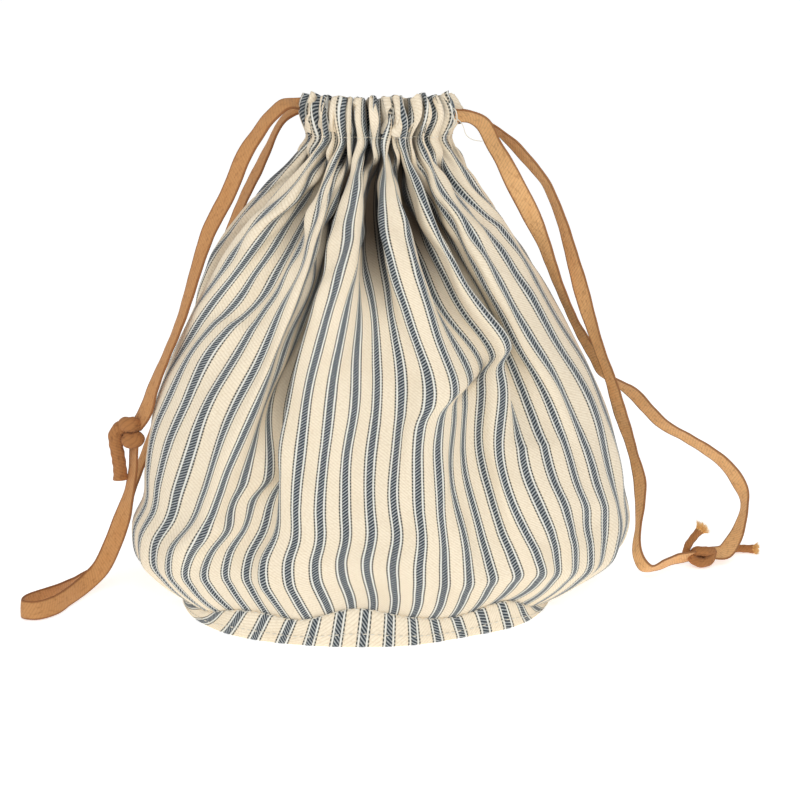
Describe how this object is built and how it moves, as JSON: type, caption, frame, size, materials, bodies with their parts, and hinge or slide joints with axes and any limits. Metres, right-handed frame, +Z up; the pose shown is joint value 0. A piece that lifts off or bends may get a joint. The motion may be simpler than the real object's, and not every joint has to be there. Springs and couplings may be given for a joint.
{
  "type": "fabric pouch",
  "caption": "Standing drawstring pouch of striped ticking with a round sewn-in base, its neck gathered into a casing with flat cotton tapes knotted at each side.",
  "frame": {"origin": "middle of the wall and base seen from above, on the surface the pouch stands on", "axes": "+Z up out of the neck, -Y to the front of the picture, +X to the right of the picture"},
  "size_m": [0.4117, 0.1952, 0.2706],
  "materials": {
    "ticking": "cream cotton twill with slate-blue woven stripes",
    "tape": "tan cotton twill tape"
  },
  "bodies": {
    "root": {"wall_panel": "ticking", "base_panel": "ticking", "tape_left_front": "tape", "tape_left_loop": "tape", "knot_left": "tape", "tape_right_inner": "tape", "tape_right_outer": "tape", "knot_right": "tape"}
  },
  "joints": []
}
